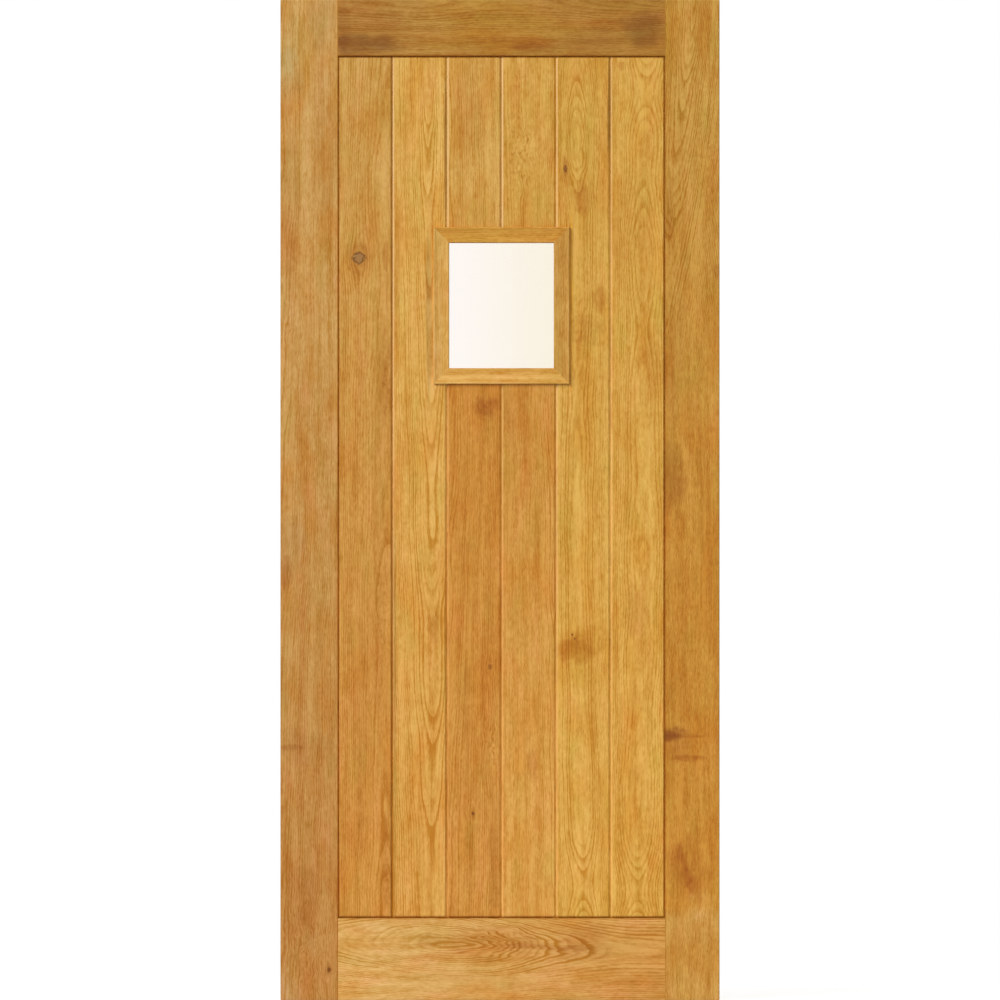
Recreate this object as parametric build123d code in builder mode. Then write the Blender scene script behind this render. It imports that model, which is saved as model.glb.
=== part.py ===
from build123d import *
import os

os.makedirs("parts", exist_ok=True)

# Boarded oak door leaf, in millimetres. X runs across the leaf, to the right when it is seen from
# outside. The outer face looks along -Y. Z = 0 is the bottom edge, and the origin lies midway
# across the width and the thickness.

# Leaf and its frame
door_width = 869.0
door_height = 1981.0
door_thickness = 44.0
left_stile_width = 114.0
right_stile_width = 108.0
top_rail_width = 112.0
bottom_rail_width = 163.0
outer_arris = 1.5
inner_arris = 0.5

# Mortise and tenon joints, glued and blind
tenon_thickness = 14.0
tenon_length = 60.0
tenon_outer_setback = 30.0
tenon_panel_setback = 15.0
twin_tenon_gap = 30.0
joint_clearance = 0.1
mortise_spare_depth = 2.0

# Boards, the same on both faces of the leaf
board_count = 6
board_thickness = 15.0
board_setback = 1.5
board_gap = 2.5
board_edge_chamfer = 1.0
vee_chamfer = 4.0
butt_clearance = 0.1
tongue_thickness = 5.0
tongue_length = 8.0
tongue_back_setback = 3.5
tongue_clearance = 0.1
groove_spare_depth = 1.0

# Window: what is seen of the glass, and the mitred beads around it
sight_width = 207.0
sight_height = 248.0
window_centre_height = 1375.5
bead_leg_width = 15.0
bead_lip_cover = 16.0
bead_nose_rise = 3.5
bead_lip_rise = 7.0
bead_flat_width = 7.0
bead_land_width = 2.0
bead_arris = 1.0
bead_nose_radius = 2.5
bead_clearance = 0.5

# Sealed glass unit, with its tapes and setting blocks
glass_clearance = 3.0
pane_thickness = 4.0
glass_cavity = 6.0
tape_thickness = 1.0
tape_setback = 1.0
sealant_depth = 4.0
spacer_width = 6.0
spacer_corner_radius = 3.0
setting_block_length = 40.0

# Core behind the boards
ledge_width = 70.0
trimmer_width = 45.0
middle_ledge_height = 660.0
core_clearance = 0.2
foam_clearance = 0.5

# Places that follow from the sizes
left_edge = -door_width / 2
right_edge = door_width / 2
panel_left = left_edge + left_stile_width
panel_right = right_edge - right_stile_width
panel_bottom = bottom_rail_width
panel_top = door_height - top_rail_width
panel_width = panel_right - panel_left
panel_centre = (panel_left + panel_right) / 2

board_pitch = panel_width / board_count
board_low = panel_bottom + board_gap
board_high = panel_top - board_gap
board_face = door_thickness / 2 - board_setback
board_back = board_face - board_thickness
tongue_level = board_back + tongue_back_setback + tongue_thickness / 2
groove_thickness = tongue_thickness + 2 * tongue_clearance
groove_depth = tongue_length + groove_spare_depth
edge_tongue_length = board_gap + tongue_length

aperture_width = sight_width + 2 * bead_leg_width
aperture_height = sight_height + 2 * bead_leg_width
aperture_left = panel_centre - aperture_width / 2
aperture_right = panel_centre + aperture_width / 2
aperture_bottom = window_centre_height - aperture_height / 2
aperture_top = window_centre_height + aperture_height / 2

unit_width = aperture_width - 2 * glass_clearance
unit_height = aperture_height - 2 * glass_clearance
unit_thickness = 2 * pane_thickness + glass_cavity
pane_level = (glass_cavity + pane_thickness) / 2

core_thickness = 2 * board_back


def tenon_spans(low, high, outer_is_low, count):
    """Lowest and highest level of each tenon across a rail that reaches from low to high."""
    start = low + (tenon_outer_setback if outer_is_low else tenon_panel_setback)
    end = high - (tenon_panel_setback if outer_is_low else tenon_outer_setback)
    height = (end - start - (count - 1) * twin_tenon_gap) / count
    step = height + twin_tenon_gap
    return [(start + i * step, start + i * step + height) for i in range(count)]


bottom_tenons = tenon_spans(0, panel_bottom, True, 2)
top_tenons = tenon_spans(panel_top, door_height, False, 1)


# Stiles: full height, grooved on the inner edge for both skins of boards, and mortised
def make_stile(name, side, width):
    """side is -1 for the left stile and 1 for the right one."""
    outer_x = side * door_width / 2
    inner_x = outer_x - side * width
    with BuildPart() as stile:
        with Locations(((outer_x + inner_x) / 2, 0, door_height / 2)):
            Box(width, door_thickness, door_height)
        outer_face = stile.faces().filter_by(Axis.X).sort_by(Axis.X)[0 if side < 0 else -1]
        end_edges = stile.edges().filter_by(Axis.X)
        chamfer(outer_face.edges() + end_edges, length=outer_arris)
        groove_x = inner_x + side * groove_depth / 2
        groove_z = (panel_bottom + panel_top) / 2
        groove_length = panel_top - panel_bottom + 2 * groove_depth
        with Locations((groove_x, -tongue_level, groove_z), (groove_x, tongue_level, groove_z)):
            Box(groove_depth, groove_thickness, groove_length, mode=Mode.SUBTRACT)
        with BuildSketch(Plane.XY.offset(panel_bottom)):
            for face_y in (-door_thickness / 2, door_thickness / 2):
                with Locations((inner_x, face_y)):
                    Rectangle(inner_arris * 2**0.5, inner_arris * 2**0.5, rotation=45)
        extrude(amount=panel_top - panel_bottom, mode=Mode.SUBTRACT)
        mortise_depth = tenon_length + mortise_spare_depth
        mortise_x = inner_x + side * mortise_depth / 2
        mortise_thickness = tenon_thickness + 2 * joint_clearance
        for low, high in bottom_tenons + top_tenons:
            with Locations((mortise_x, 0, (low + high) / 2)):
                Box(mortise_depth, mortise_thickness, high - low + 2 * joint_clearance, mode=Mode.SUBTRACT)
    stile.part.label = name
    export_step(stile.part, f"parts/{name}.step")


make_stile("left_stile", -1, left_stile_width)
make_stile("right_stile", 1, right_stile_width)


# Rails: between the stiles, grooved on the panel edge, with their tenons at both ends
def make_rail(name, low, high, outer_is_low, tenons):
    panel_z = high if outer_is_low else low
    groove_z = panel_z + (-1 if outer_is_low else 1) * groove_depth / 2
    with BuildPart() as rail:
        with Locations((panel_centre, 0, (low + high) / 2)):
            Box(panel_width, door_thickness, high - low)
        outer_edges = rail.edges().filter_by(Axis.X).group_by(Axis.Z)[0 if outer_is_low else -1]
        inner_edges = rail.edges().filter_by(Axis.X).group_by(Axis.Z)[-1 if outer_is_low else 0]
        chamfer(outer_edges, length=outer_arris)
        chamfer(inner_edges, length=inner_arris)
        with Locations((panel_centre, -tongue_level, groove_z), (panel_centre, tongue_level, groove_z)):
            Box(panel_width, groove_thickness, groove_depth, mode=Mode.SUBTRACT)
        for tenon_low, tenon_high in tenons:
            with Locations((panel_centre, 0, (tenon_low + tenon_high) / 2)):
                Box(panel_width + 2 * tenon_length, tenon_thickness, tenon_high - tenon_low)
    rail.part.label = name
    export_step(rail.part, f"parts/{name}.step")


make_rail("bottom_rail", 0, panel_bottom, True, bottom_tenons)
make_rail("top_rail", panel_top, door_height, False, top_tenons)


# Boards: tongued on the right edge and grooved on the left, but tongued on both edges of the first
# one, with a vee where two boards meet and an open line where they meet the frame
def make_board(name, number, low, high, low_in_rail, high_in_rail):
    first = number == 1
    last = number == board_count
    left = panel_left + (number - 1) * board_pitch + (board_gap if first else butt_clearance)
    right = panel_left + number * board_pitch - (board_gap if last else butt_clearance)
    body_centre = (left + right) / 2
    left_chamfer = board_edge_chamfer if first else vee_chamfer
    right_chamfer = board_edge_chamfer if last else vee_chamfer
    with BuildPart() as board:
        with BuildSketch(Plane.XY.offset(low)) as section:
            with Locations((body_centre, -(board_face + board_back) / 2)):
                Rectangle(right - left, board_thickness)
            face_corners = section.vertices().group_by(Axis.Y)[0].sort_by(Axis.X)
            chamfer(face_corners[0], length=left_chamfer)
            chamfer(face_corners[1], length=right_chamfer)
            tongue = edge_tongue_length if last else tongue_length
            with Locations((right, -tongue_level)):
                Rectangle(tongue, tongue_thickness, align=(Align.MIN, Align.CENTER))
            with Locations((left, -tongue_level)):
                if first:
                    Rectangle(edge_tongue_length, tongue_thickness, align=(Align.MAX, Align.CENTER))
                else:
                    Rectangle(
                        groove_depth,
                        groove_thickness,
                        align=(Align.MIN, Align.CENTER),
                        mode=Mode.SUBTRACT,
                    )
        extrude(amount=high - low)
        end_levels = [z for z, in_rail in ((low, low_in_rail), (high, high_in_rail)) if in_rail]
        for level in end_levels:
            end_face = board.faces().filter_by(Axis.Z).sort_by(Axis.Z)[0 if level == low else -1]
            face_edge = end_face.edges().filter_by(Axis.X).sort_by(Axis.Y)[0]
            chamfer(face_edge, length=board_edge_chamfer)
        tongue_left = left - (edge_tongue_length if first else 0)
        tongue_right = right + (edge_tongue_length if last else 0)
        for level in end_levels:
            tongue_end = level + (-1 if level == low else 1) * edge_tongue_length
            with Locations(((tongue_left + tongue_right) / 2, -tongue_level, (level + tongue_end) / 2)):
                Box(tongue_right - tongue_left, tongue_thickness, edge_tongue_length)
        if left < aperture_right and right > aperture_left and low < aperture_bottom and high > aperture_top:
            with Locations((panel_centre, -(board_face + board_back) / 2, window_centre_height)):
                Box(aperture_width, 2 * board_thickness, aperture_height, mode=Mode.SUBTRACT)
    board.part.label = f"front_{name}"
    export_step(board.part, f"parts/front_{name}.step")
    with BuildPart() as back_board:
        mirror(board.part, about=Plane.XZ)
    back_board.part.label = f"back_{name}"
    export_step(back_board.part, f"parts/back_{name}.step")


# A board is cut in two where the window and the lips of its beads cover its whole width
for number in range(1, board_count + 1):
    left_line = panel_left + (number - 1) * board_pitch
    right_line = left_line + board_pitch
    if left_line > aperture_left - bead_lip_cover and right_line < aperture_right + bead_lip_cover:
        make_board(f"board_{number}_lower", number, board_low, aperture_bottom, True, False)
        make_board(f"board_{number}_upper", number, aperture_top, board_high, False, True)
    else:
        make_board(f"board_{number}", number, board_low, board_high, True, True)


# Beads: a leg that reaches in to the glass and a lip that covers the edge of the boards. The face is
# flat beside the glass, with a rounded nose, and rises in a hollow to the outer land.
def make_bead(name, outward, sight_across, sight_along):
    """outward is the direction away from the glass, as (x, z)."""
    across_x, across_z = outward
    along = Vector(across_z, 0, -across_x)
    across = Vector(across_x, 0, across_z)
    centre = Vector(panel_centre, 0, window_centre_height)
    sight_middle = centre + across * (sight_across / 2)
    glass_level = unit_thickness / 2 + tape_thickness
    leg_edge = bead_leg_width - bead_clearance
    lip_edge = bead_leg_width + bead_lip_cover
    nose_level = board_face + bead_nose_rise
    lip_level = board_face + bead_lip_rise
    hollow_end = lip_edge - bead_land_width
    with BuildPart() as bead:
        with BuildSketch(Plane(origin=sight_middle, x_dir=across, z_dir=along)) as section:
            with BuildLine():
                Polyline((bead_flat_width, nose_level), (0, nose_level), (0, glass_level))
                Polyline((0, glass_level), (leg_edge, glass_level), (leg_edge, board_face))
                Polyline((leg_edge, board_face), (lip_edge, board_face), (lip_edge, lip_level))
                Line((lip_edge, lip_level), (hollow_end, lip_level))
                TangentArc((bead_flat_width, nose_level), (hollow_end, lip_level), tangent=(1, 0))
            make_face()
            outer_corner = section.vertices().group_by(Axis.X)[-1].sort_by(Axis.Y)[-1]
            fillet(outer_corner, radius=bead_arris)
            nose_corner = section.vertices().group_by(Axis.X)[0].sort_by(Axis.Y)[-1]
            fillet(nose_corner, radius=bead_nose_radius)
        extrude(amount=sight_along / 2 + lip_edge, both=True)
        for end in (-1, 1):
            corner = sight_middle + along * (end * sight_along / 2)
            mitre = Plane(origin=corner, z_dir=along * end - across)
            split(bisect_by=mitre, keep=Keep.BOTTOM)
    bead.part.label = f"front_{name}"
    export_step(bead.part, f"parts/front_{name}.step")
    with BuildPart() as back_bead:
        mirror(bead.part, about=Plane.XZ)
    back_bead.part.label = f"back_{name}"
    export_step(back_bead.part, f"parts/back_{name}.step")


make_bead("bead_top", (0, 1), sight_height, sight_width)
make_bead("bead_bottom", (0, -1), sight_height, sight_width)
make_bead("bead_right", (1, 0), sight_width, sight_height)
make_bead("bead_left", (-1, 0), sight_width, sight_height)


# Sealed glass unit: two panes held apart by the spacer frame, with sealant round its edge
def make_pane(name, level):
    with BuildPart() as pane:
        with Locations((panel_centre, level, window_centre_height)):
            Box(unit_width, pane_thickness, unit_height)
    pane.part.label = name
    export_step(pane.part, f"parts/{name}.step")


make_pane("outer_pane", -pane_level)
make_pane("inner_pane", pane_level)

spacer_frame_width = unit_width - 2 * sealant_depth
spacer_frame_height = unit_height - 2 * sealant_depth
window_plane = Plane(origin=(panel_centre, 0, window_centre_height), x_dir=(1, 0, 0), z_dir=(0, -1, 0))

with BuildPart() as spacer_frame:
    with BuildSketch(window_plane):
        RectangleRounded(spacer_frame_width, spacer_frame_height, spacer_corner_radius)
        Rectangle(
            spacer_frame_width - 2 * spacer_width,
            spacer_frame_height - 2 * spacer_width,
            mode=Mode.SUBTRACT,
        )
    extrude(amount=glass_cavity / 2, both=True)
spacer_frame.part.label = "spacer_frame"
export_step(spacer_frame.part, "parts/spacer_frame.step")

with BuildPart() as edge_sealant:
    with BuildSketch(window_plane):
        Rectangle(unit_width, unit_height)
        RectangleRounded(spacer_frame_width, spacer_frame_height, spacer_corner_radius, mode=Mode.SUBTRACT)
    extrude(amount=glass_cavity / 2, both=True)
edge_sealant.part.label = "edge_sealant"
export_step(edge_sealant.part, "parts/edge_sealant.step")


# Glazing tapes, between the glass and the legs of the beads
def make_tape(name, side):
    """side is 1 for the outer face and -1 for the inner face."""
    with BuildPart() as tape:
        with BuildSketch(window_plane.offset(side * unit_thickness / 2)):
            Rectangle(unit_width, unit_height)
            Rectangle(sight_width + 2 * tape_setback, sight_height + 2 * tape_setback, mode=Mode.SUBTRACT)
        extrude(amount=side * tape_thickness)
    tape.part.label = name
    export_step(tape.part, f"parts/{name}.step")


make_tape("outer_glazing_tape", 1)
make_tape("inner_glazing_tape", -1)

# Two setting blocks carry the glass unit at its quarter points
with BuildPart() as setting_blocks:
    block_z = aperture_bottom + glass_clearance / 2
    quarter = unit_width / 4
    with Locations((panel_centre - quarter, 0, block_z), (panel_centre + quarter, 0, block_z)):
        Box(setting_block_length, unit_thickness, glass_clearance)
setting_blocks.part.label = "setting_blocks"
export_step(setting_blocks.part, "parts/setting_blocks.step")


# Core: flat ledges from stile to stile, trimmers beside the window, and insulation in the bays
def make_core_piece(name, left, right, low, high):
    """A flat piece of the core's thickness."""
    with BuildPart() as piece:
        with Locations(((left + right) / 2, 0, (low + high) / 2)):
            Box(right - left, core_thickness, high - low)
    piece.part.label = name
    export_step(piece.part, f"parts/{name}.step")


middle_ledge_bottom = middle_ledge_height - ledge_width / 2
middle_ledge_top = middle_ledge_height + ledge_width / 2

ledges = {
    "window_head_ledge": (aperture_top, aperture_top + ledge_width),
    "window_sill_ledge": (aperture_bottom - ledge_width, aperture_bottom),
    "middle_ledge": (middle_ledge_bottom, middle_ledge_top),
}
for name, (low, high) in ledges.items():
    make_core_piece(name, panel_left + core_clearance, panel_right - core_clearance, low, high)

left_trimmer_outer = aperture_left - trimmer_width
right_trimmer_outer = aperture_right + trimmer_width
make_core_piece("left_window_trimmer", left_trimmer_outer, aperture_left, aperture_bottom, aperture_top)
make_core_piece("right_window_trimmer", aperture_right, right_trimmer_outer, aperture_bottom, aperture_top)

insulation_bays = {
    "top_insulation": (panel_left, panel_right, aperture_top + ledge_width, panel_top),
    "left_insulation": (panel_left, left_trimmer_outer, aperture_bottom, aperture_top),
    "right_insulation": (right_trimmer_outer, panel_right, aperture_bottom, aperture_top),
    "middle_insulation": (panel_left, panel_right, middle_ledge_top, aperture_bottom - ledge_width),
    "bottom_insulation": (panel_left, panel_right, panel_bottom, middle_ledge_bottom),
}
for name, (left, right, low, high) in insulation_bays.items():
    make_core_piece(
        name,
        left + foam_clearance,
        right - foam_clearance,
        low + foam_clearance,
        high - foam_clearance,
    )
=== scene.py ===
import math

import bpy
import numpy as np
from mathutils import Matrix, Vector


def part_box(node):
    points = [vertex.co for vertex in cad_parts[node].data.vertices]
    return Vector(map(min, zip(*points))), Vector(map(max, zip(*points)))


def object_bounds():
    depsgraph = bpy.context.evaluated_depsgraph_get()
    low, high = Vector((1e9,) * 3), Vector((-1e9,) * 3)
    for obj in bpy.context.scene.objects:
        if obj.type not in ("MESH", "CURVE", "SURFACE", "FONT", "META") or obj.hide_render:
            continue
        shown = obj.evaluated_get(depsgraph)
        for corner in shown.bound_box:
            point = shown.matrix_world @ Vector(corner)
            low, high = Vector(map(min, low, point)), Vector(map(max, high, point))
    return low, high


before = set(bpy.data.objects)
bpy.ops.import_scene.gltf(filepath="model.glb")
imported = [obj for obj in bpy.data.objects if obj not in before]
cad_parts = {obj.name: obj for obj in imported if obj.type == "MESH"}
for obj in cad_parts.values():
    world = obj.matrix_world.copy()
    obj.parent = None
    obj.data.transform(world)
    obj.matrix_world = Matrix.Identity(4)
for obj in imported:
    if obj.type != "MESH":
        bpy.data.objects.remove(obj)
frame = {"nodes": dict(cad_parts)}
cad_low, cad_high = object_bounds()
nodes = frame["nodes"]

MM = 0.001


class Value:
    """What comes out of a node's socket: a number, a colour or a shader. Arithmetic on a number adds
    Math nodes to its tree."""

    def __init__(self, tree, socket):
        self.tree = tree
        self.socket = socket

    def output(self, key):
        """Another output of the node that this value comes out of."""
        return Value(self.tree, self.socket.node.outputs[key])

    def math(self, operation, *others):
        return self.tree.node("ShaderNodeMath", {"operation": operation}, [self, *others])

    def __add__(self, other):
        return self.math("ADD", other)

    def __sub__(self, other):
        return self.math("SUBTRACT", other)

    def __mul__(self, other):
        return self.math("MULTIPLY", other)

    def __truediv__(self, other):
        return self.math("DIVIDE", other)

    def __pow__(self, other):
        return self.math("POWER", other)

    def __rsub__(self, other):
        return self.tree.node("ShaderNodeMath", {"operation": "SUBTRACT"}, [other, self])

    def __rtruediv__(self, other):
        return self.tree.node("ShaderNodeMath", {"operation": "DIVIDE"}, [other, self])

    __radd__ = __add__
    __rmul__ = __mul__

    def smooth(self, start, end):
        """0 at start and 1 at end, with a soft S between. Start may be the larger of the two."""
        settings = {"interpolation_type": "SMOOTHSTEP"}
        return self.tree.node("ShaderNodeMapRange", settings, [self, start, end, 0.0, 1.0])

    def bell(self, steepness):
        """Of the square of a distance: 1 where that is 0, and fading out all round as a bell."""
        return (self * -steepness).math("EXPONENT")


class Tree:
    """The nodes of one material, or of the world."""

    def __init__(self, owner, last="ShaderNodeOutputMaterial"):
        owner.use_nodes = True
        self.owner = owner
        self.nodes = owner.node_tree.nodes
        self.links = owner.node_tree.links
        self.nodes.clear()
        self.last = self.nodes.new(last)

    def node(self, kind, settings, inputs):
        """Adds a node: its settings first, then its sockets, in order from a list or by name or number
        from a dict. Gives back its first output."""
        made = self.nodes.new(kind)
        for name, setting in settings.items():
            setattr(made, name, setting)
        pairs = inputs.items() if isinstance(inputs, dict) else enumerate(inputs)
        for key, given in pairs:
            if isinstance(given, Value):
                self.links.new(given.socket, made.inputs[key])
            else:
                made.inputs[key].default_value = given
        return Value(self, made.outputs[0])

    def show(self, shader):
        """Puts a shader on the surface, or on the world."""
        self.links.new(shader.socket, self.last.inputs["Surface"])
        return self.owner

    def principled(self, sockets):
        return self.show(self.node("ShaderNodeBsdfPrincipled", {}, sockets))

    def here(self):
        """X, Y and Z of the leaf in metres, at the point that is seen."""
        place = self.node("ShaderNodeTexCoord", {}, []).output("Object")
        x = self.node("ShaderNodeSeparateXYZ", {}, [place])
        return x, x.output("Y"), x.output("Z")

    def vector(self, x, y, z):
        return self.node("ShaderNodeCombineXYZ", {}, [x, y, z])

    def noise(self, place, detail=2.0):
        """Perlin noise about 0, mostly between -1 and 1, one lump per unit of place."""
        sockets = {"Vector": place, "Scale": 1.0, "Detail": detail, "Roughness": 0.5}
        return self.node("ShaderNodeTexNoise", {"normalize": False}, sockets)

    def mix(self, factor, low, high, blend="MIX"):
        """A colour from low to high by factor. Each colour is a value or three numbers. A Mix node
        takes colours by its sockets 6 and 7, and gives one by its output 2."""
        low, high = (c if isinstance(c, Value) else (*c, 1.0) for c in (low, high))
        settings = {"data_type": "RGBA", "clamp_factor": True, "blend_type": blend}
        return self.node("ShaderNodeMix", settings, {0: factor, 6: low, 7: high}).output(2)

    def tint(self, factor, base, by):
        """The colour base, multiplied by three numbers where factor is 1."""
        return self.mix(factor, base, by, "MULTIPLY")


def colour(red, green, blue):
    """Linear light from a display colour of 0 to 255."""
    return tuple(
        c / 12.92 if c <= 0.04045 else ((c + 0.055) / 1.055) ** 2.4
        for c in (red / 255, green / 255, blue / 255)
    )


def times(tone, by):
    return tuple(c * k for c, k in zip(tone, by))


def dress(node, material):
    mesh = nodes[node].data
    mesh.materials.clear()
    mesh.materials.append(material)


# The oak. From here to the other materials, all lengths are in millimetres.

# The layers of the oak: how wide a lump is across the grain, and how long along it
SLOW_WAVE = (150, 700)
QUICK_WAVE = (30, 140)
RIPPLE = (9, 30)
SWIRL = (19, 38)
JOG = (12, 160)
PORES = (1.8, 9)
FIBRES = (3.6, 60)
DASHES = (2.6, 11)
BANDS = (15, 420)
MOTTLES = (11, 26)
CLOUDS = (45, 140)
HUES = (34, 130)
RAYS = (7, 9)
SHEEN_PATCHES = (60, 40)

# How far the layers move the fibres sideways
SLOW_STRAY = 8
QUICK_STRAY = 2.2
RIPPLE_STRAY = 0.8
SWIRL_STRAY = 9

# How far the pith strays to and from the face, in waves of what length, and how far the rings drift
# from being even, in rings
BOW = 8
BOW_LENGTH = 300
RING_DRIFT = 0.8

# The early wood of a ring: the shares of the ring's width where it is full and where it has faded
# out, and how strong it is in the faintest ring
EARLY_FULL, EARLY_END = 0.1, 0.75
FAINTEST_RING = 0.2

# How strong the pores are outside the early wood, where 1 is as strong as in it
LATE_PORES = 0.4

# Far enough along the noise to meet a pattern of its own: from piece to piece, and within one
SEED_STEP = 37.1
ELSEWHERE = 500

# How much each layer takes the oak from its pale tone at 0 to its deep tone at 1
MIDDLE_TONE = 0.38
RING_DEPTH = 0.55
PORE_DEPTH = 0.3
FIBRE_DEPTH = 0.30
DASH_DEPTH = 0.34
BAND_DEPTH = 0.38
MOTTLE_DEPTH = 0.24

# Where a piece is plain below a height, its rings fade over this length to this share
PLAIN_FADE = 250
PLAIN_RINGS = 0.25

# What the oak's colour is multiplied by, in red, green and blue
PALE = (1.19, 1.34, 1.62)
DEEP = (0.80, 0.66, 0.22)
CLOUDED = (0.92, 0.77, 0.50)
OLIVE_CAST = (0.90, 0.94, 0.78)
PINK_CAST = (1.05, 0.99, 1.14)
STAINED = (0.80, 0.66, 0.50)
RAY_SHADE = (0.80, 0.67, 0.48)
RAY_SHINE = (1.05, 1.08, 1.15)
KNOT_HALO = (0.74, 0.58, 0.42)
# Painted light on the tongues, in the deep open line round the panel
TONGUE_LIGHT = (1.6, 1.5, 0.8)
# Painted light on the slope of a vee that faces away from the key light
ARRIS_LIGHT = (1.25, 1.42, 1.50)

# The cream of the painted highlight on the slope of a vee that faces the key light
VEE_HIGHLIGHT_CREAM = colour(219, 182, 126)
BARK, HEART = colour(112, 72, 28), colour(166, 120, 66)
PIN_KNOT_BARK, PIN_KNOT_HEART = colour(138, 80, 18), colour(104, 54, 10)
PIN_KNOT_SIZE = 15

# The painted highlight on the lit slope of a vee: how deep it is where it begins and where it is full,
# how far from the board's edge it stays full and where it ends, and between which heights it grows
HIGHLIGHT_FROM, HIGHLIGHT_FULL = 0.3, 1.2
HIGHLIGHT_WIDTH, HIGHLIGHT_END = 4.0, 5.5
HIGHLIGHT_LOW, HIGHLIGHT_HIGH = 300, 1700

# How far behind a board's face the painted light on its tongue begins, and where it is full
TONGUE_LIGHT_FROM, TONGUE_LIGHT_FULL = 3.0, 5.0

ROUGHNESS = 0.42
GLOSS = 0.22
RELIEF = 0.3 * MM


class Cut:
    """How one piece was sawn from its log, and what is seen on its face. The numbers that aren't given
    are drawn by its seed. Marks are placed by X and Z of the leaf, so that they are written where they
    lie on the door. Most rows of marks begin with the mark's X, Z, width and height."""

    # How strong the growth rings, the fibres and the clouds are, and how far the fibres wander
    figure = 1.0
    fibre = 1.0
    cloud = 1.0
    wander = 1.0
    # The height below which the rings are faint
    plain_below = None
    # Humps in the pith's depth: the place along the grain, the reach and the rise
    swells = ()
    # Swirling fibres, and quiet places where the rings are faint: the place and the strength
    curls = ()
    quiet = ()
    # Rings that jog to and fro: the place and how far they jog
    zigzags = ()
    # Knots: the place and how dark they are
    knots = ()
    # Stains, and patches of painted light and painted shade: the place, the strength and, where it isn't
    # STAINED, what the colour is multiplied by
    stains_and_painted_light = ()
    # Flecks of ray: the place and the strength
    flecks = ()
    # How strong the painted highlight on the left arris is, at its foot and at its head
    painted_sheen = None
    # Bands along an edge, mostly painted shade and painted light: see shaded_edge
    edge_shade = ()

    def __init__(self, seed, low_tone, high_tone, upright=True, **given):
        """low_tone is the tone at the foot or the left end, high_tone at the head or right end."""
        rng = np.random.default_rng(seed)
        self.seed = seed
        self.low_tone = low_tone
        self.high_tone = high_tone
        self.upright = upright
        self.pith = rng.uniform(-40, 40)
        self.lean = rng.uniform(-0.012, 0.012)
        self.depth = rng.uniform(30, 70)
        self.slope = rng.uniform(-0.03, 0.03)
        self.ring = rng.uniform(2.6, 3.6)
        for name, value in given.items():
            setattr(self, name, value)


class Grain:
    """The coordinates of one piece: along and across the grain, the depth behind its front, and the
    line that the fibres follow."""

    def __init__(self, tree, node, cut):
        low, high = (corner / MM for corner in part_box(node))
        self.x, y, self.z = (axis * (1 / MM) for axis in tree.here())
        self.tree = tree
        self.cut = cut
        self.left = low.x
        self.depth = y - low.y
        self.across, self.along = self.turned(self.x, self.z)
        near, self.first = self.turned(low.x, low.z)
        far, self.last = self.turned(high.x, high.z)
        self.shift = cut.seed * SEED_STEP
        self.slow = tree.noise(self.place(*SLOW_WAVE), 1.0)
        quick = tree.noise(self.place(*QUICK_WAVE), 1.0)
        ripple = tree.noise(self.place(*RIPPLE), 1.0)
        stray = self.slow * SLOW_STRAY + quick * QUICK_STRAY + ripple * RIPPLE_STRAY
        self.line = self.across - (near + far) / 2 + stray * cut.wander
        for curl in cut.curls:
            self.swirl(*curl)
        for x, z, wide, high, _ in cut.knots:
            self.part_round(x, z, wide, high)

    def turned(self, x, z):
        """Two numbers that are given for X and for Z, in order of across and along the grain."""
        return (x, z) if self.cut.upright else (z, x)

    def place(self, wide, long, line=None):
        """A place for noise whose lumps are wide across the grain and long along it."""
        line = self.across if line is None else line
        across = line / wide + self.shift
        return self.tree.vector(across, self.depth / wide, self.along / long - self.shift)

    def streaks(self, wide, long, detail=1.0):
        return self.tree.noise(self.place(wide, long, self.line), detail)

    def from_point(self, x, z):
        """Across and along the grain from a point of the leaf."""
        across, along = self.turned(x, z)
        return self.across - across, self.along - along

    def in_oval(self, x, z, wide, high):
        """Across and along the grain from the middle of an oval, which ends where either is 1."""
        across, along = self.from_point(x, z)
        width, length = self.turned(wide, high)
        return across / (width / 2), along / (length / 2)

    def patch(self, x, z, wide, high):
        """1 at a point of the leaf, and fading out as a bell to the edge of an oval round it."""
        across, along = self.in_oval(x, z, wide, high)
        return (across * across + along * along).bell(1.5)

    def swirl(self, x, z, wide, high, strength):
        """The fibres swirl to and fro in a soft oval."""
        spread = self.patch(x, z, wide, high)
        swirl = self.tree.noise(self.place(*SWIRL), 1.0)
        self.line = self.line + swirl * spread * (SWIRL_STRAY * strength)

    def part_round(self, x, z, wide, high):
        """The fibres part round a knot as a stream parts round a post. They part by the square of its
        width over the distance from it, and close again further along the grain than across it."""
        across, along = self.from_point(x, z)
        along = along * (0.45 * wide / high)
        reach = wide * wide * 0.3
        self.line = self.line - across * reach / (across * across + along * along + reach * 0.7)


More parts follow.
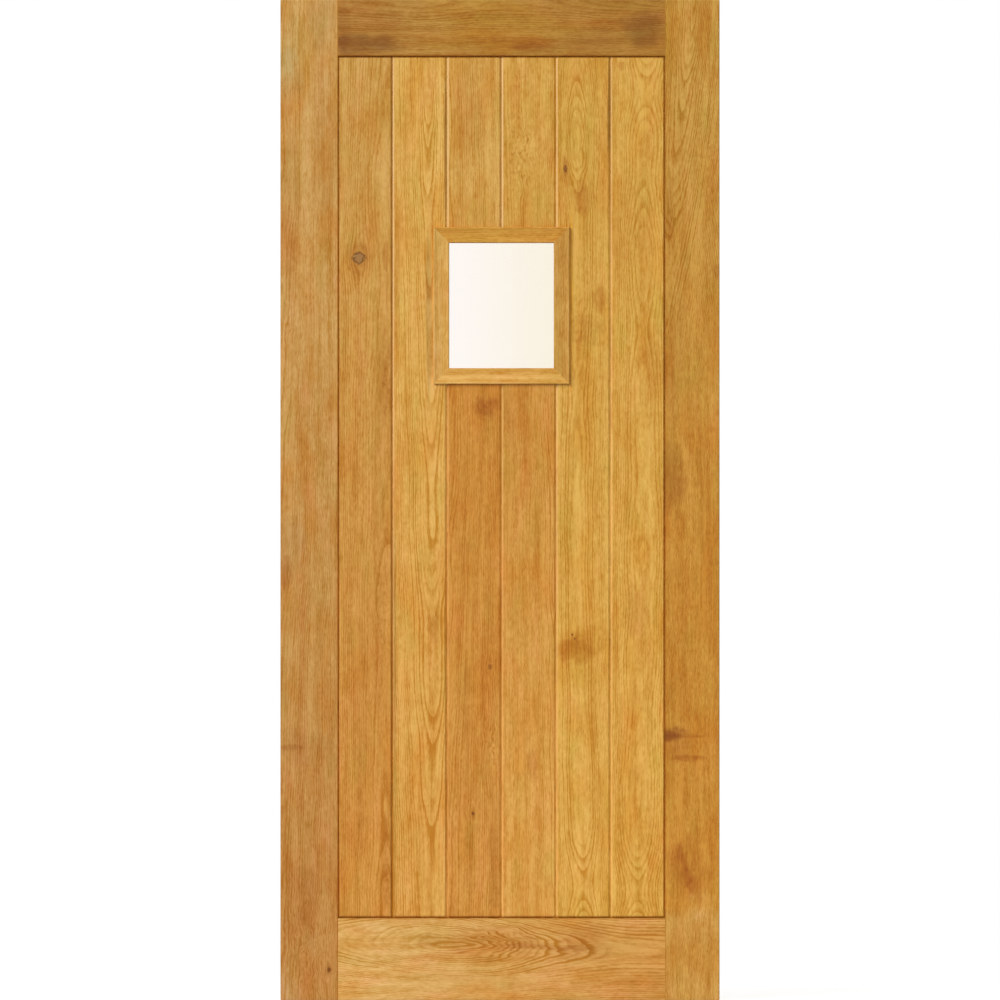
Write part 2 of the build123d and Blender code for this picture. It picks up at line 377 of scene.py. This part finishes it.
def growth_rings(grain):
    """How much dark early wood there is. Rings are tubes round the pith: a ring's number is the
    distance from the pith divided by the ring's width. The pith leans and comes nearer the face along
    the piece, which draws arches on the face. A swell is a hump in the pith's depth, which draws
    arches that point both ways from it, and a zig-zag jogs that depth to and fro."""
    tree, cut = grain.tree, grain.cut
    run = grain.along - (grain.first + grain.last) / 2
    sideways = grain.line - cut.pith - run * cut.lean
    bow = tree.noise(tree.vector(grain.along / BOW_LENGTH + grain.shift, 0.0, 0.0), 1.0)
    deep = grain.depth + cut.depth + run * cut.slope + bow * BOW
    for place, reach, rise in cut.swells:
        hump = (grain.along - place) / reach
        deep = deep + (hump * hump).bell(1.0) * rise
    for x, z, wide, high, far in cut.zigzags:
        jog = tree.noise(grain.place(*JOG), 1.0) * far
        deep = deep + jog * grain.patch(x, z, wide, high)
    count = (sideways * sideways + deep * deep) ** 0.5 / cut.ring + grain.slow * RING_DRIFT
    number = count.math("FLOOR")
    within = count - number
    vigour = tree.node("ShaderNodeTexWhiteNoise", {"noise_dimensions": "1D"}, {"W": number + 0.5})
    early = within.smooth(EARLY_END, EARLY_FULL) * within.smooth(0.0, EARLY_FULL)
    return early * (vigour * (1 - FAINTEST_RING) + FAINTEST_RING)


def oak(node, cut):
    """Oiled oak with a satin finish, whose pores and early wood lie a little below the face."""
    tree = Tree(bpy.data.materials.new(node))
    grain = Grain(tree, node, cut)
    early = growth_rings(grain)
    pores = grain.streaks(*PORES).smooth(0.1, 0.6) * (early * (1 - LATE_PORES) + LATE_PORES)
    fibre = grain.streaks(*FIBRES, 2.0)
    dash = grain.streaks(*DASHES)
    base = oak_colour(grain, early, pores, fibre, dash)
    base = marked(grain, base)
    # Painted highlight on the slope of the vee that faces the key light
    if cut.painted_sheen:
        base = painted_vee_highlight(grain, base)
    # Painted light on the tongue seen in the open line round the panel
    if node.startswith("front_board"):
        base = painted_tongue_light(grain, base)
    # Bands along edges: mostly painted shade and painted light
    for edge in cut.edge_shade:
        base = shaded_edge(grain, base, *edge)
    relief = {"Strength": 0.4, "Distance": RELIEF, "Height": dash * 0.2 - early * 0.3 - pores}
    return tree.principled({
        "Base Color": base,
        "Roughness": ROUGHNESS - fibre * 0.05,
        "Specular IOR Level": GLOSS,
        "Normal": tree.node("ShaderNodeBump", {}, relief),
    })


def oak_colour(grain, early, pores, fibre, dash):
    """The oak between its pale and its deep tone, then clouded, with an olive or a pink cast."""
    tree, cut = grain.tree, grain.cut
    band = grain.streaks(*BANDS)
    mottle = grain.streaks(*MOTTLES, 2.0)
    cloud = tree.noise(grain.place(*CLOUDS), 3.0)
    hue = tree.noise(grain.place(*HUES, grain.line + ELSEWHERE), 2.0)

    rings = (early - 0.2) * (RING_DEPTH * cut.figure)
    if cut.plain_below:
        above = grain.along.smooth(cut.plain_below - PLAIN_FADE, cut.plain_below)
        rings = rings * (above * (1 - PLAIN_RINGS) + PLAIN_RINGS)
    for x, z, wide, high, strength in cut.quiet:
        rings = rings * (1.0 - grain.patch(x, z, wide, high) * strength)
    tone = rings + pores * PORE_DEPTH + MIDDLE_TONE
    tone = tone + (fibre * FIBRE_DEPTH + dash * DASH_DEPTH) * cut.fibre
    tone = tone + band * BAND_DEPTH + mottle * MOTTLE_DEPTH

    change = grain.along.smooth(grain.first, grain.last)
    base_pale = tree.mix(change, times(cut.low_tone, PALE), times(cut.high_tone, PALE))
    base_deep = tree.mix(change, times(cut.low_tone, DEEP), times(cut.high_tone, DEEP))
    base = tree.mix(tone, base_pale, base_deep)
    base = tree.tint(cloud.smooth(-0.4, 0.9) * cut.cloud, base, CLOUDED)
    base = tree.tint(hue.smooth(0.0, 0.9), base, OLIVE_CAST)
    return tree.tint(hue.smooth(0.0, -0.9), base, PINK_CAST)


def marked(grain, base):
    for knot in grain.cut.knots:
        base = knotted(grain, base, *knot)
    for stain_or_light in grain.cut.stains_and_painted_light:
        base = stain_or_light_patch(grain, base, *stain_or_light)
    for fleck in grain.cut.flecks:
        base = flecked(grain, base, *fleck)
    return base


def knotted(grain, base, x, z, wide, high, darkness):
    """A knot: a dark bark line round a brown heart, in a reddish halo drawn out along the grain. A pin
    knot has a heart darker than its bark."""
    tree = grain.tree
    across, along = grain.in_oval(x, z, wide, high)
    width, length = grain.turned(wide, high)
    ragged = tree.noise(grain.place(width * 0.35, length * 0.35), 2.0) * 0.35
    out = (across * across + along * along) ** 0.5 + ragged
    halo = (across * across + along * along * 0.35) ** 0.5 + ragged
    base = tree.tint(halo.smooth(2.2, 0.8) * (darkness * 0.55), base, KNOT_HALO)
    bark, heart = BARK, HEART
    if max(wide, high) < PIN_KNOT_SIZE:
        bark, heart = PIN_KNOT_BARK, PIN_KNOT_HEART
    base = tree.mix(out.smooth(1.1, 0.75) * darkness, base, bark)
    return tree.mix(out.smooth(0.8, 0.45) * (darkness * 0.9), base, heart)


def stain_or_light_patch(grain, base, x, z, wide, high, strength, by=STAINED):
    """A soft ragged patch, wide by high, that multiplies the colour by three numbers."""
    across, along = grain.in_oval(x, z, wide, high)
    width, length = grain.turned(wide, high)
    ragged = grain.tree.noise(grain.place(width * 0.5, length * 0.5, grain.line), 3.0)
    reach = across * across + along * along + ragged * 0.9
    return grain.tree.tint(reach.smooth(1.6, 0.0) * strength, base, by)


def flecked(grain, base, x, z, wide, high, strength):
    """Medullary rays cut along their length: short wavy marks, dark and light, in a soft oval."""
    spread = grain.patch(x, z, wide, high) * strength
    marks = grain.tree.noise(grain.place(*RAYS), 2.0)
    base = grain.tree.tint(marks.smooth(0.0, 0.6) * spread, base, RAY_SHADE)
    return grain.tree.tint(marks.smooth(-0.1, -0.7) * spread, base, RAY_SHINE)


def painted_vee_highlight(grain, base):
    """Painted highlight: the slope of the vee on the left of a board, which faces the key light, painted
    pale cream, and more so towards its head."""
    at_foot, at_head = grain.cut.painted_sheen
    from_edge = grain.across - grain.left
    slope = grain.depth.smooth(HIGHLIGHT_FROM, HIGHLIGHT_FULL) * from_edge.smooth(HIGHLIGHT_END, HIGHLIGHT_WIDTH)
    painted_sheen = grain.along.smooth(HIGHLIGHT_LOW, HIGHLIGHT_HIGH) * (at_head - at_foot) + at_foot
    uneven_sheen = grain.tree.noise(grain.place(*SHEEN_PATCHES), 2.0) * 0.3 + 1.0
    return grain.tree.mix(slope * painted_sheen * uneven_sheen, base, VEE_HIGHLIGHT_CREAM)


def painted_tongue_light(grain, base):
    """Painted light: the tongue of a board, deep in the open line round the panel, made lighter and
    warmer than its shade there.
    """
    return grain.tree.tint(grain.depth.smooth(TONGUE_LIGHT_FROM, TONGUE_LIGHT_FULL), base, TONGUE_LIGHT)


def shaded_edge(grain, base, axis, place, reach, by):
    """A band along a plane of X or Z, whose colour is multiplied by three numbers: mostly painted shade
    or painted light. It takes in all that lies below the plane and fades out above it over reach, or
    the other way round where reach is below 0."""
    coordinate = {"x": grain.x, "z": grain.z}[axis]
    return grain.tree.tint((coordinate - place).smooth(reach, reach * 0.4), base, by)


# The edges along which bands of painted shade and painted light lie
LEAF_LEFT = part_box("left_stile")[0].x / MM
PANEL_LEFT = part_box("left_stile")[1].x / MM
PANEL_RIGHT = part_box("right_stile")[0].x / MM
PANEL_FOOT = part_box("bottom_rail")[1].z / MM
PANEL_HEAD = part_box("top_rail")[0].z / MM
BEAD_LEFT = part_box("front_bead_left")[0].x / MM
BEAD_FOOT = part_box("front_bead_bottom")[0].z / MM
BOARD_PITCH = (PANEL_RIGHT - PANEL_LEFT) / 6

# Painted shade along the open line round the panel, on the inner edges of the stiles and rails and on the
# ends of the boards: darkest at the head and on the left, where the frame's shade falls
LEFT_SHADE_LINE = ("x", PANEL_LEFT, -3.0, (0.78, 0.62, 0.28))
RIGHT_SHADE_LINE = ("x", PANEL_RIGHT, 3.0, (0.84, 0.74, 0.50))
TOP_SHADE_LINE = ("z", PANEL_HEAD, 3.5, (0.75, 0.57, 0.12))
BOTTOM_SHADE_LINE = ("z", PANEL_FOOT, -3.5, (0.82, 0.72, 0.46))
HEAD_SHADE_LINE = ("z", PANEL_HEAD, -5.0, (0.70, 0.55, 0.30))
FOOT_SHADE_LINE = ("z", PANEL_FOOT, 7.5, (0.80, 0.72, 0.55))


def painted_arris(board, by=ARRIS_LIGHT):
    """Painted light on the arris on the right of a board, by the board's number: the shaded slope of the
    vee there made lighter, or darker where the numbers are below 1.
    """
    return ("x", PANEL_LEFT + board * BOARD_PITCH, -4.5, by)


FRONT_CUTS = {
    # Straight and a little cloudy, with one pin knot near the foot, where the grain swings out
    "left_stile": Cut(
        11, colour(187, 130, 64), colour(199, 151, 83), pith=-70, ring=3.0, figure=0.9, cloud=1.2,
        wander=1.4,
        knots=[(-338.7, 61, 9, 13, 0.75)],
        curls=[(-390, 110, 110, 230, 1.2), (-410, 1300, 60, 160, 0.8)],
        stains_and_painted_light=[
            (-425, 845, 26, 60, 0.9), (-415, 500, 60, 14, 0.7), (-360.5, 1769, 4, 5, 0.9),
            (-420, 1560, 40, 420, 0.5), (-390, 200, 70, 150, 0.45), (-345, 1700, 50, 400, 0.35),
            (-412, 62, 90, 190, 1.0, (1.07, 1.24, 1.80)), (-395, 505, 110, 80, 0.8, (0.89, 0.85, 0.78)),
            (-415, 905, 60, 120, 0.8, (0.86, 0.84, 0.84)), (-350, 1940, 60, 120, 0.8, (0.85, 0.81, 0.78)),
            (-415, 1830, 60, 110, 0.8, (0.88, 0.95, 1.04)),
            (-370, 700, 100, 500, 0.3, (0.93, 0.96, 0.8)), (-420, 1900, 50, 160, 0.6, (0.9, 0.97, 1.0)),
        ],
        flecks=[(-390, 110, 110, 220, 0.5), (-380, 1450, 100, 500, 0.35)],
        # Painted shade along its inner edge beside the open line, and its outer edge a little darker and
        # bluer
        edge_shade=[LEFT_SHADE_LINE, ("x", LEAF_LEFT, 2.2, (0.78, 0.82, 0.95))],
    ),
    # Arches that point down near the head, with a ripple in them, then a rich plain brown with a dark
    # wedge and dark streaks in its lower part, and a paler honey foot
    "right_stile": Cut(
        12, colour(192, 130, 44), colour(190, 140, 60), pith=-99, lean=0.10, depth=71, slope=-0.067,
        ring=3.3, figure=1.4, plain_below=1500, fibre=1.1,
        curls=[(378, 500, 40, 120, 0.8), (372, 240, 70, 90, 0.9), (345, 1040, 40, 90, 1.0)],
        zigzags=[(345, 1570, 60, 150, 4.0)],
        stains_and_painted_light=[
            (340, 528, 54, 30, 1.0, (0.58, 0.42, 0.32)), (336, 507, 26, 18, 0.8, (1.10, 1.12, 1.4)),
            (368, 523, 70, 9, 0.9), (374, 480, 66, 12, 1.0), (350, 500, 12, 50, 0.5),
            (366, 262, 90, 130, 0.6), (356, 292, 13, 50, 0.9), (364, 268, 13, 50, 0.9),
            (372, 246, 14, 44, 0.9), (380, 230, 18, 34, 0.9),
            (385, 950, 130, 900, 0.7, (0.99, 0.95, 0.80)), (335, 1560, 26, 160, 0.5),
            (398, 190, 50, 60, 1.0, (1.04, 1.13, 1.50)),
            (345, 1240, 50, 330, 0.8, (0.88, 0.84, 0.72)), (340, 1030, 60, 140, 1.0, (0.76, 0.69, 0.55)),
            (345, 505, 64, 70, 0.8, (0.86, 0.80, 0.70)), (431, 1442, 18, 34, 0.9),
        ],
        flecks=[(408, 1650, 50, 500, 0.6), (385, 560, 90, 700, 0.35)],
        # Painted shade along its inner edge beside the open line; the paler foot is the oak's own tone
        edge_shade=[RIGHT_SHADE_LINE, ("z", 135, 55.0, (1.04, 1.24, 2.20))],
    ),
    # Darker than the rest, with smoky patches at both ends
    "top_rail": Cut(
        13, colour(176, 126, 56), colour(166, 115, 43), False, pith=60, figure=1.1, cloud=1.3,
        wander=1.3,
        stains_and_painted_light=[
            (-272, 1892, 150, 44, 1.0, (0.68, 0.61, 0.60)), (-262, 1935, 150, 100, 0.5),
            (-312, 1925, 30, 120, 0.6),
            (65, 1886, 80, 26, 0.9), (285, 1925, 80, 76, 0.9, (0.70, 0.64, 0.62)),
            (-10, 1930, 330, 110, 0.8, (1.06, 1.08, 0.78)), (190, 1900, 120, 50, 0.5),
        ],
        flecks=[(0, 1925, 640, 110, 0.3)],
        # Painted shade along its lower edge beside the open line, the darkest of the four
        edge_shade=[TOP_SHADE_LINE],
    ),
    # A long eye of grain left of the middle, whose arches zig-zag on their way to the right
    "bottom_rail": Cut(
        14, colour(212, 163, 92), colour(199, 141, 67), False, pith=26, lean=-0.04, slope=0.02,
        depth=60, ring=3.3, swells=[(-95, 175, -42)], figure=2.3, wander=1.3, fibre=0.8,
        curls=[(-15, 135, 170, 90, 0.7), (-150, 125, 160, 80, 0.4)],
        zigzags=[(-10, 118, 190, 110, 6.0), (120, 105, 160, 60, 2.5)],
        quiet=[(-205, 112, 290, 120, 0.9), (-90, 30, 640, 90, 0.85), (220, 25, 420, 70, 0.75)],
        stains_and_painted_light=[
            (60, 107, 110, 12, 0.9), (145, 103, 70, 14, 0.8), (-10, 112, 190, 80, 0.5),
            (-140, 118, 50, 30, 0.5),
            (150, 30, 260, 70, 0.6, (1.04, 1.05, 1.1)), (-270, 40, 130, 80, 0.9, (1.07, 1.13, 1.30)),
            (160, 115, 130, 70, 0.9, (0.86, 0.80, 0.70)),
        ],
        # Painted shade along its upper edge beside the open line
        edge_shade=[BOTTOM_SHADE_LINE],
    ),
    # The largest knot, with the grain parting round it
    "front_board_1": Cut(
        21, colour(200, 137, 58), colour(197, 147, 72), pith=46, slope=0.012,
        knots=[(-279, 1470, 28, 26, 0.95)],
        curls=[(-222, 260, 26, 150, 1.0), (-230, 760, 40, 200, 0.8)],
        stains_and_painted_light=[
            # The first patch on this line is a painted glint at the edge of the knot
            (-288, 1473, 6, 6, 1.0, (1.5, 1.9, 2.8)), (-299, 1449, 5, 7, 0.8),
            (-226, 1472, 14, 56, 0.9), (-226, 1225, 26, 180, 0.7), (-275, 600, 34, 600, 0.35),
            (-240, 900, 30, 900, 0.35), (-224, 260, 18, 200, 0.5),
            (-285, 220, 60, 110, 0.9, (1.08, 1.10, 1.20)),
        ],
        flecks=[(-226, 1225, 26, 200, 0.8), (-228, 780, 36, 260, 0.6), (-222, 250, 18, 150, 0.8)],
        # Painted shade at the head and the foot and on the right arris, and painted light along the left
        # edge beside the open line
        edge_shade=[
            HEAD_SHADE_LINE, FOOT_SHADE_LINE, painted_arris(1, (0.85, 0.78, 0.55)),
            ("x", PANEL_LEFT, 4.5, (1.25, 1.25, 1.40)),
        ],
    ),
    # The clearest figure of all the boards, in fine dark lines
    "front_board_2": Cut(
        22, colour(211, 153, 71), colour(211, 160, 77), pith=18, slope=-0.03, figure=1.5,
        painted_sheen=(0.0, 0.95),
        curls=[(-128, 430, 14, 30, 1.0)],
        stains_and_painted_light=[
            (-130, 740, 26, 60, 0.5), (-112, 1330, 12, 70, 0.5), (-205, 1450, 20, 300, 0.35),
            # The next three are painted shade: beside the window bead's left edge, on the lit slope of
            # the vee on the left low down, and on the shaded slope of the vee on the right near the head
            (-139, 1375, 16, 330, 1.0, (0.76, 0.78, 0.80)),
            (-210.5, 600, 10, 1000, 1.0, (0.74, 0.76, 0.80)),
            (-107, 1700, 8, 330, 1.0, (0.72, 0.70, 0.68)),
        ],
        # Painted shade at the head and the foot, and painted light on the right arris
        edge_shade=[HEAD_SHADE_LINE, FOOT_SHADE_LINE, painted_arris(2, (1.14, 1.22, 1.25))],
    ),
    # A small red knot low down, and a row of wavy marks beside the middle line
    "front_board_3_lower": Cut(
        23, colour(199, 137, 58), colour(195, 131, 50), pith=-66,
        painted_sheen=(0.2, 0.45),
        knots=[(-53.5, 370, 7, 8, 0.8), (-20, 660, 10, 14, 0.35)],
        curls=[(-18, 520, 30, 180, 0.8), (-20, 660, 18, 30, 1.0)],
        stains_and_painted_light=[
            (-26, 1172, 50, 44, 0.9, (0.74, 0.58, 0.44)), (-65, 570, 16, 220, 0.4),
            (-12, 300, 20, 300, 0.6),
        ],
        flecks=[(-26, 1172, 40, 40, 0.8), (-14, 500, 30, 130, 0.8), (-6, 250, 18, 220, 0.9)],
        # Painted shade at the foot, and painted light on the right arris
        edge_shade=[FOOT_SHADE_LINE, painted_arris(3)],
    ),
    "front_board_3_upper": Cut(
        24, colour(203, 152, 73), colour(203, 152, 73), pith=-75,
        painted_sheen=(0.5, 1.0),
        stains_and_painted_light=[(-60, 1760, 60, 200, 0.35)],
        # Painted shade at the head
        edge_shade=[HEAD_SHADE_LINE],
    ),
    "front_board_4_lower": Cut(
        25, colour(211, 153, 71), colour(198, 138, 58), pith=62,
        painted_sheen=(0.25, 0.5),
        curls=[(40, 860, 40, 90, 0.7)],
        stains_and_painted_light=[(62, 465, 22, 60, 0.7), (20, 1150, 26, 100, 0.5)],
        # Painted shade at the foot, and painted light on the right arris
        edge_shade=[FOOT_SHADE_LINE, painted_arris(4)],
    ),
    # Rays that curl across the middle of the board
    "front_board_4_upper": Cut(
        26, colour(204, 153, 69), colour(204, 153, 69), pith=-60, figure=0.8,
        painted_sheen=(0.5, 1.0),
        curls=[(45, 1670, 80, 170, 1.3)],
        flecks=[(38, 1680, 60, 170, 1.25), (40, 1820, 70, 60, 0.6)],
        # Painted shade at the head, and painted light on the right arris
        edge_shade=[HEAD_SHADE_LINE, painted_arris(4, (1.30, 1.38, 1.35))],
    ),
    # Two eyes of grain, a pin knot beside the upper one, and a smoky patch with two worm holes
    "front_board_5": Cut(
        27, colour(211, 157, 69), colour(203, 153, 66), pith=-12, slope=0.0, depth=34, figure=1.2,
        ring=2.6, swells=[(1713, 110, -16), (220, 75, 13)], painted_sheen=(0.35, 0.8),
        knots=[(129, 1646, 7, 15, 0.8), (143, 724, 4, 5, 0.85), (148, 716, 3.5, 4, 0.7)],
        curls=[(150, 1650, 50, 160, 0.8)],
        stains_and_painted_light=[
            (155, 1715, 30, 200, 0.9, (1.07, 1.11, 1.25)), (129, 1655, 12, 44, 0.9),
            (131, 1628, 16, 44, 1.0, (0.80, 0.64, 0.40)), (165, 1590, 44, 70, 0.7),
            (152, 694, 76, 56, 1.0, (0.78, 0.63, 0.34)), (176, 712, 96, 60, 0.8, (0.86, 0.74, 0.46)),
            (164, 650, 90, 60, 0.7, (0.93, 0.86, 0.66)), (196, 1390, 26, 60, 0.8),
            # The last patch on this line is painted light in the shadow that the window bead casts on the
            # board, and the patch below it is painted shade on the shaded slope of the vee on the right,
            # near the head
            (170, 1330, 60, 60, 0.5), (140, 1372, 10, 330, 1.0, (1.25, 1.10, 0.62)),
            (216.5, 1760, 8, 260, 1.0, (0.62, 0.56, 0.46)),
        ],
        flecks=[(150, 1300, 80, 150, 0.5), (160, 1380, 90, 90, 0.5)],
        # Painted shade at the head and the foot, and painted light on the right arris
        edge_shade=[HEAD_SHADE_LINE, FOOT_SHADE_LINE, painted_arris(5, (1.18, 1.32, 1.40))],
    ),
    # Close rings, with a short dark mark near the head
    "front_board_6": Cut(
        28, colour(211, 156, 68), colour(206, 155, 68), pith=6, slope=0.006, ring=2.4,
        painted_sheen=(0.3, 0.6), swells=[(1790, 70, 9), (220, 75, 12)],
        stains_and_painted_light=[
            (240, 1851, 12, 22, 1.0), (268, 770, 50, 90, 0.6), (262, 1540, 90, 160, 0.35),
            (300, 1250, 40, 160, 0.4),
        ],
        flecks=[(265, 1180, 80, 90, 0.35)],
        # Painted shade at the head and the foot
        edge_shade=[HEAD_SHADE_LINE, FOOT_SHADE_LINE],
    ),
    # The window bead is plain, and its left and bottom members are the palest
    "front_bead_left": Cut(
        31, colour(217, 166, 88), colour(216, 165, 88), pith=80, figure=0.4, cloud=0.5, fibre=0.7,
        stains_and_painted_light=[(-120.8, 1331, 4, 8, 0.9)],
        # Painted highlight along the outer edge of the left member
        edge_shade=[("x", BEAD_LEFT, 4.0, (0.98, 1.02, 1.22))],
    ),
    "front_bead_right": Cut(
        32, colour(188, 138, 61), colour(188, 138, 61), pith=80, figure=0.5, cloud=0.5,
    ),
    "front_bead_top": Cut(
        33, colour(199, 140, 53), colour(199, 140, 53), False, pith=80, figure=0.6, cloud=0.6,
    ),
    "front_bead_bottom": Cut(
        34, colour(212, 158, 79), colour(212, 158, 79), False, pith=80, figure=0.4, cloud=0.5,
        fibre=0.7,
        # Painted highlight along the outer edge of the bottom member
        edge_shade=[("z", BEAD_FOOT, 4.0, (1.08, 1.16, 1.35))],
    ),
}

# The pieces behind the front: their tone, from the darkest by how much, in steps that spread them
# evenly, and the seed of the first node
HIDDEN_OAK = colour(205, 149, 68)
DARKEST, LIGHTER_BY = 0.92, 0.16
SPREADING_STEP = 0.618
FIRST_SEED = 60


def back_cut(node, seed):
    """The pieces that are only seen from behind or not at all: the same oak, each a little lighter or
    darker than the next, with a grain of its own."""
    lightness = DARKEST + LIGHTER_BY * (seed * SPREADING_STEP % 1)
    tone = times(HIDDEN_OAK, (lightness, lightness, lightness))
    bead_across = node in ("back_bead_top", "back_bead_bottom")
    return Cut(seed, tone, tone, upright=not (bead_across or "ledge" in node))


# The other materials. Each but the glass has a fine speck, so that no surface is one flat colour.
ALUMINIUM = (0.62, 0.63, 0.64)
BLACK_SEALANT = (0.02, 0.02, 0.022)
BLACK_PLASTIC = (0.03, 0.03, 0.03)
GREY_TAPE = (0.5, 0.5, 0.48)
CREAM_FOAM = (0.83, 0.76, 0.55)
GLASS_LEFT = (0.995, 0.965, 0.945)
GLASS_RIGHT = (0.975, 0.94, 0.86)
GLASS_BEND = 1.5
SPECK = 0.1


def speckled(node, tone, roughness, metallic=0.0, size=2.0):
    """One tone with a speck of this size in millimetres."""
    tree = Tree(bpy.data.materials.new(node))
    x, y, z = (axis * (1 / MM / size) for axis in tree.here())
    speck = tree.noise(tree.vector(x, y, z))
    darker, lighter = (times(tone, (k, k, k)) for k in (1 - SPECK, 1 + SPECK))
    return tree.principled({
        "Base Color": tree.mix(speck * 0.5 + 0.5, darker, lighter),
        "Roughness": roughness,
        "Metallic": metallic,
    })


def window_glass(node):
    """Clear float glass. Its faint tint goes from white at the left to cream at the right."""
    tree = Tree(bpy.data.materials.new(node))
    low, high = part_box(node)
    across = tree.here()[0].smooth(low.x, high.x)
    return tree.principled({
        "Base Color": tree.mix(across, GLASS_LEFT, GLASS_RIGHT),
        "Roughness": 0.0,
        "IOR": GLASS_BEND,
        "Transmission Weight": 1.0,
    })


def dress_everything():
    for seed, node in enumerate(nodes, start=FIRST_SEED):
        if node in FRONT_CUTS:
            dress(node, oak(node, FRONT_CUTS[node]))
        elif "pane" in node:
            dress(node, window_glass(node))
        elif node == "spacer_frame":
            dress(node, speckled(node, ALUMINIUM, 0.35, metallic=1.0))
        elif node == "edge_sealant":
            dress(node, speckled(node, BLACK_SEALANT, 0.6))
        elif node == "setting_blocks":
            dress(node, speckled(node, BLACK_PLASTIC, 0.5))
        elif "tape" in node:
            dress(node, speckled(node, GREY_TAPE, 0.8))
        elif "insulation" in node:
            dress(node, speckled(node, CREAM_FOAM, 0.9, size=4.0))
        else:
            dress(node, oak(node, back_cut(node, seed)))


# The studio: a soft key from the upper left, a weaker light from behind, and a white surround. The
# world is plain white where it is looked at, and a fill light on everything else. Lengths are in
# metres and angles in degrees.
WHITE_SEEN = 1.0
FILL = 0.45
KEY = (-0.66, -0.74, 0.52)
KEY_STRENGTH = 2.6
KEY_ANGLE = 34
REAR = (0.55, 0.75, 0.45)
REAR_STRENGTH = 1.6
REAR_ANGLE = 30
FLOOR_TONE = (0.5, 0.5, 0.49)
FLOOR_GLOW = 0.66
FLOOR_REACH = 1.5
FLOOR_FADE_FROM = 0.45
FLOOR_SIDES = 96
CAMERA_DISTANCE = 30.0
SENSOR = 36
OUTSIDE_THE_PICTURE = 0.002


def lamp(name, towards, strength, angle):
    sun = bpy.data.lights.new(name, "SUN")
    sun.energy = strength
    sun.angle = math.radians(angle)
    made = bpy.data.objects.new(name, sun)
    made.rotation_euler = Vector(towards).to_track_quat("Z", "Y").to_euler()
    bpy.context.scene.collection.objects.link(made)


def looked_at(tree):
    """1 for a ray from the camera, straight or by way of gloss or glass, and 0 for any other."""
    straight = tree.node("ShaderNodeLightPath", {}, [])
    by_gloss = straight.output("Is Glossy Ray")
    by_glass = straight.output("Is Transmission Ray")
    return straight.math("MAXIMUM", by_gloss).math("MAXIMUM", by_glass)


def white_world():
    world = bpy.data.worlds.new("studio")
    bpy.context.scene.world = world
    tree = Tree(world, "ShaderNodeOutputWorld")
    strength = looked_at(tree) * (WHITE_SEEN - FILL) + FILL
    tree.show(tree.node("ShaderNodeBackground", {}, {"Color": (1, 1, 1, 1), "Strength": strength}))


def pale_floor():
    """A round floor that fades out into the white round it. Where it is looked at, a glow brings its
    lit part up to white, and leaves the leaf's shadow on it."""
    turn = [2 * math.pi * i / FLOOR_SIDES for i in range(FLOOR_SIDES)]
    ring = [(FLOOR_REACH * math.cos(a), FLOOR_REACH * math.sin(a), 0.0) for a in turn]
    mesh = bpy.data.meshes.new("floor")
    mesh.from_pydata(ring, [], [tuple(range(FLOOR_SIDES))])
    floor = bpy.data.objects.new("floor", mesh)
    bpy.context.scene.collection.objects.link(floor)

    tree = Tree(bpy.data.materials.new("floor"))
    x, y = tree.here()[:2]
    plain = tree.node("ShaderNodeBsdfDiffuse", {}, {"Color": (*FLOOR_TONE, 1)})
    glow = tree.node("ShaderNodeEmission", {}, {"Strength": looked_at(tree) * FLOOR_GLOW})
    lit = tree.node("ShaderNodeAddShader", {}, [plain, glow])
    clear = tree.node("ShaderNodeBsdfTransparent", {}, [])
    fade = ((x * x + y * y) ** 0.5).smooth(FLOOR_FADE_FROM, FLOOR_REACH)
    mesh.materials.append(tree.show(tree.node("ShaderNodeMixShader", {}, [fade, lit, clear])))


def straight_on_camera():
    """Square on to the leaf at half its height, from far off. The leaf is a hair higher than the
    picture, so that its arrises at the head and foot lie outside it."""
    camera_data = bpy.data.cameras.new("camera")
    camera = bpy.data.objects.new("camera", camera_data)
    bpy.context.scene.collection.objects.link(camera)
    bpy.context.scene.camera = camera
    leaf_height = cad_high[2] - cad_low[2]
    frame_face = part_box("left_stile")[0].y
    camera.location = (0, frame_face - CAMERA_DISTANCE, leaf_height / 2)
    camera.rotation_euler = (math.pi / 2, 0, 0)
    camera_data.sensor_width = SENSOR
    camera_data.lens = SENSOR * CAMERA_DISTANCE / (leaf_height - OUTSIDE_THE_PICTURE)
    camera_data.clip_end = 200


dress_everything()
lamp("key", KEY, KEY_STRENGTH, KEY_ANGLE)
lamp("rear", REAR, REAR_STRENGTH, REAR_ANGLE)
white_world()
pale_floor()
straight_on_camera()
bpy.context.scene.view_settings.view_transform = "Standard"
